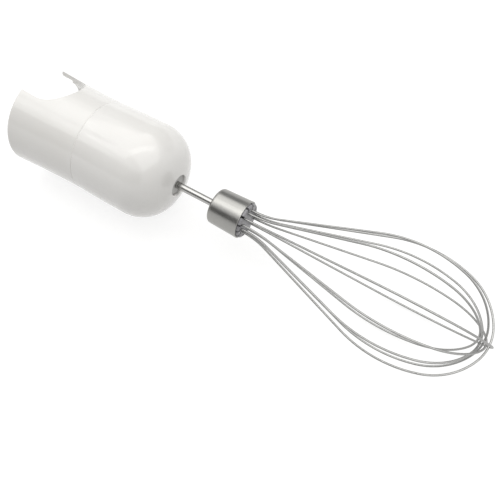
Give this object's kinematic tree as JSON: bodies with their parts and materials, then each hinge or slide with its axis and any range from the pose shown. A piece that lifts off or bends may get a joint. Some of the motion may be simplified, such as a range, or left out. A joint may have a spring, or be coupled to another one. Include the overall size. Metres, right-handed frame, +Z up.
{
  "type": "immersion blender whisk attachment",
  "caption": "Whisk attachment for a hand blender: a coupling cup and gearbox housing with a steel shaft, a ferrule and a balloon whisk that pulls out of its turning hub.",
  "frame": {"origin": "centre of the seat inside the coupling cup, where the blender's nose comes to rest", "axes": "+X along the shaft, towards the tip of the whisk; +Z up with the attachment lying on its side, on the cup's rim and two whisk wires"},
  "size_m": [0.2717, 0.062, 0.0598],
  "materials": {
    "white_plastic": "glossy moulded plastic",
    "grey_nylon": "moulded nylon",
    "acetal": "moulded acetal",
    "hub_plastic": "moulded acetal, grey",
    "plug_plastic": "moulded plastic, grey",
    "steel": "ground steel",
    "polished_steel": "polished stainless steel",
    "satin_steel": "satin stainless steel",
    "wire_steel": "bright-drawn stainless wire",
    "bronze": "sintered bronze",
    "rubber": "soft rubber"
  },
  "bodies": {
    "gearbox": {"coupling_cup": "white_plastic", "dome_shell": "white_plastic", "ring_gear": "grey_nylon", "case_screws": "steel", "input_bush": "bronze", "output_bush": "bronze", "well_washer": "steel", "hub_seal": "rubber"},
    "input_drive": {"drive_coupler": "grey_nylon", "input_shaft": "steel", "first_sun": "acetal"},
    "first_stage": {"first_carrier": "acetal", "first_planet_pins": "steel", "middle_washer": "steel"},
    "output_stage": {"output_carrier": "hub_plastic", "second_planet_pins": "steel", "grip_ring": "rubber"},
    "whisk": {"whisk_shaft": "polished_steel", "ferrule": "satin_steel", "wire_plug": "plug_plastic", "wire_loop_1": "wire_steel", "wire_loop_2": "wire_steel", "wire_loop_3": "wire_steel", "wire_loop_4": "wire_steel", "wire_loop_5": "wire_steel", "wire_loop_6": "wire_steel"},
    "first_planet_1": {"first_planet_1": "acetal"},
    "first_planet_2": {"first_planet_2": "acetal"},
    "first_planet_3": {"first_planet_3": "acetal"},
    "second_planet_1": {"second_planet_1": "acetal"},
    "second_planet_2": {"second_planet_2": "acetal"},
    "second_planet_3": {"second_planet_3": "acetal"}
  },
  "joints": [
    {"name": "hub_spin", "type": "hinge", "parent": "gearbox", "child": "output_stage", "pos_m": [0.0336, 0, 0], "axis": [1, 0, 0], "continuous": true},
    {"name": "first_stage_spin", "type": "hinge", "parent": "gearbox", "child": "first_stage", "pos_m": [0.0231, 0, 0], "axis": [1, 0, 0], "continuous": true},
    {"name": "input_spin", "type": "hinge", "parent": "gearbox", "child": "input_drive", "pos_m": [0.011, 0, 0], "axis": [1, 0, 0], "continuous": true},
    {"name": "first_planet_1_spin", "type": "hinge", "parent": "first_stage", "child": "first_planet_1", "pos_m": [0.0158, 0, 0.0108], "axis": [1, 0, 0], "continuous": true},
    {"name": "first_planet_2_spin", "type": "hinge", "parent": "first_stage", "child": "first_planet_2", "pos_m": [0.0158, -0.00935, -0.0054], "axis": [1, 0, 0], "continuous": true},
    {"name": "first_planet_3_spin", "type": "hinge", "parent": "first_stage", "child": "first_planet_3", "pos_m": [0.0158, 0.00935, -0.0054], "axis": [1, 0, 0], "continuous": true},
    {"name": "second_planet_1_spin", "type": "hinge", "parent": "output_stage", "child": "second_planet_1", "pos_m": [0.0262, 0, 0.0108], "axis": [1, 0, 0], "continuous": true},
    {"name": "second_planet_2_spin", "type": "hinge", "parent": "output_stage", "child": "second_planet_2", "pos_m": [0.0262, -0.00935, -0.0054], "axis": [1, 0, 0], "continuous": true},
    {"name": "second_planet_3_spin", "type": "hinge", "parent": "output_stage", "child": "second_planet_3", "pos_m": [0.0262, 0.00935, -0.0054], "axis": [1, 0, 0], "continuous": true},
    {"name": "whisk_pull", "type": "slide", "parent": "output_stage", "child": "whisk", "axis": [1, 0, 0], "range_m": [0, 0.0206]}
  ],
  "couplings": [
    {"joint": "first_stage_spin", "follows": "hub_spin", "ratio": 3.6},
    {"joint": "input_spin", "follows": "hub_spin", "ratio": 12.96},
    {"joint": "second_planet_1_spin", "follows": "hub_spin", "ratio": -3.25},
    {"joint": "second_planet_2_spin", "follows": "hub_spin", "ratio": -3.25},
    {"joint": "second_planet_3_spin", "follows": "hub_spin", "ratio": -3.25},
    {"joint": "first_planet_1_spin", "follows": "hub_spin", "ratio": -11.7},
    {"joint": "first_planet_2_spin", "follows": "hub_spin", "ratio": -11.7},
    {"joint": "first_planet_3_spin", "follows": "hub_spin", "ratio": -11.7}
  ]
}
